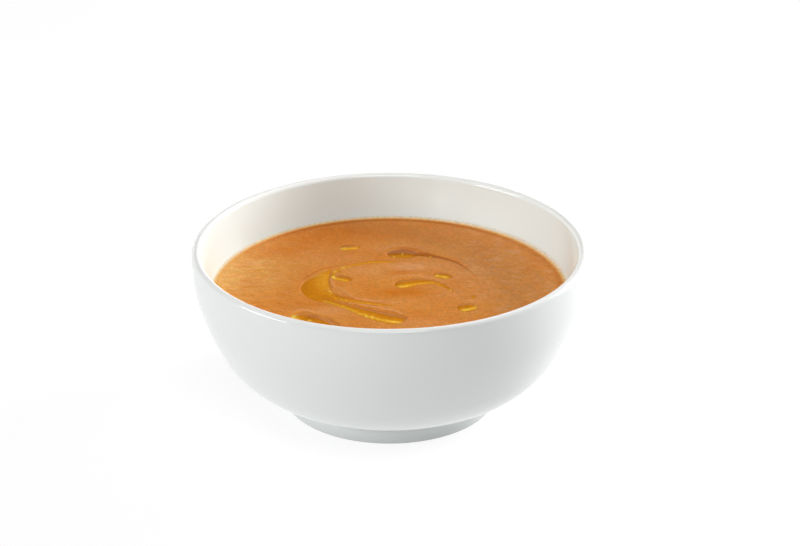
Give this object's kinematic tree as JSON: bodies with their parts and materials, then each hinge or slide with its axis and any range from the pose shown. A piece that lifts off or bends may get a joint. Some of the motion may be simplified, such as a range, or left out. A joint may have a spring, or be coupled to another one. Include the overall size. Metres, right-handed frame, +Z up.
{
  "type": "bowl of salmorejo",
  "caption": "White porcelain soup bowl on a foot ring, nearly full of thick orange salmorejo with a spoon swirl and pools and drops of olive oil.",
  "frame": {"origin": "middle of the foot ring's flat underside, on the surface the bowl stands on", "axes": "+Z up along the bowl's axis; -Y is the front, towards the viewer, where the spoon's swirl opens; +X to the viewer's right"},
  "size_m": [0.15, 0.15, 0.0636],
  "materials": {
    "porcelain": "glossy clear glaze on white porcelain",
    "salmorejo": "smooth, thick, moist orange puree with a soft sheen",
    "olive_oil": "clear golden olive oil, glossy"
  },
  "bodies": {
    "root": {"bowl": "porcelain", "salmorejo": "salmorejo"}
  },
  "joints": []
}
